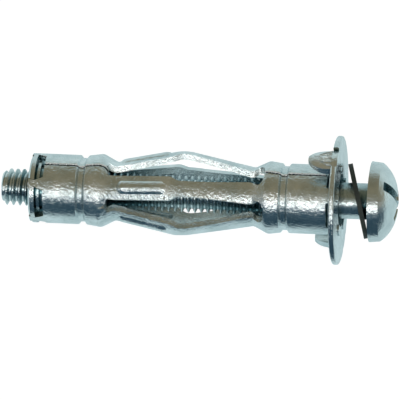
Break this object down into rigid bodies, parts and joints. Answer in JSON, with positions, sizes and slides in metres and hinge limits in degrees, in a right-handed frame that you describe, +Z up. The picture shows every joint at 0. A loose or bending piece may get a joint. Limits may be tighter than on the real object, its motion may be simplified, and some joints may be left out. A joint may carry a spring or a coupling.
{
  "type": "hollow wall anchor",
  "caption": "Metal expanding wall plug: a slotted folding sleeve between a pronged collar plate and a threaded end nut, with pan-head screw and washer.",
  "frame": {"origin": "on the surface the anchor lies on, under the middle of its bounding box", "axes": "+X along the anchor towards the screw's head, +Z up; the screw's axis lies in the XZ plane and rises 5.3 degrees towards the head"},
  "size_m": [0.0424, 0.0138, 0.0134],
  "materials": {
    "zinc_sheet": "bright blue-white zinc plating on rolled and pressed sheet steel",
    "zinc_turned": "bright blue-white zinc plating on formed steel",
    "black_fibre": "matt black vulcanised fibre"
  },
  "bodies": {
    "anchor": {"sleeve": "zinc_sheet", "collar_plate": "zinc_sheet", "nut": "zinc_turned"},
    "washer": {"washer": "black_fibre"},
    "screw": {"screw": "zinc_turned"}
  },
  "joints": [
    {"name": "screw_travel", "type": "slide", "parent": "anchor", "child": "washer", "axis": [0.9957, 0, 0.0925], "range_m": [-0.00044, 0.0077]},
    {"name": "screw_turn", "type": "hinge", "parent": "washer", "child": "screw", "pos_m": [0.01449, 0, 0.00669], "axis": [0.9957, 0, 0.0925], "range_deg": [-226.5, 3960]}
  ],
  "couplings": [
    {"joint": "screw_turn", "follows": "screw_travel", "rad_per_m": 8976}
  ]
}
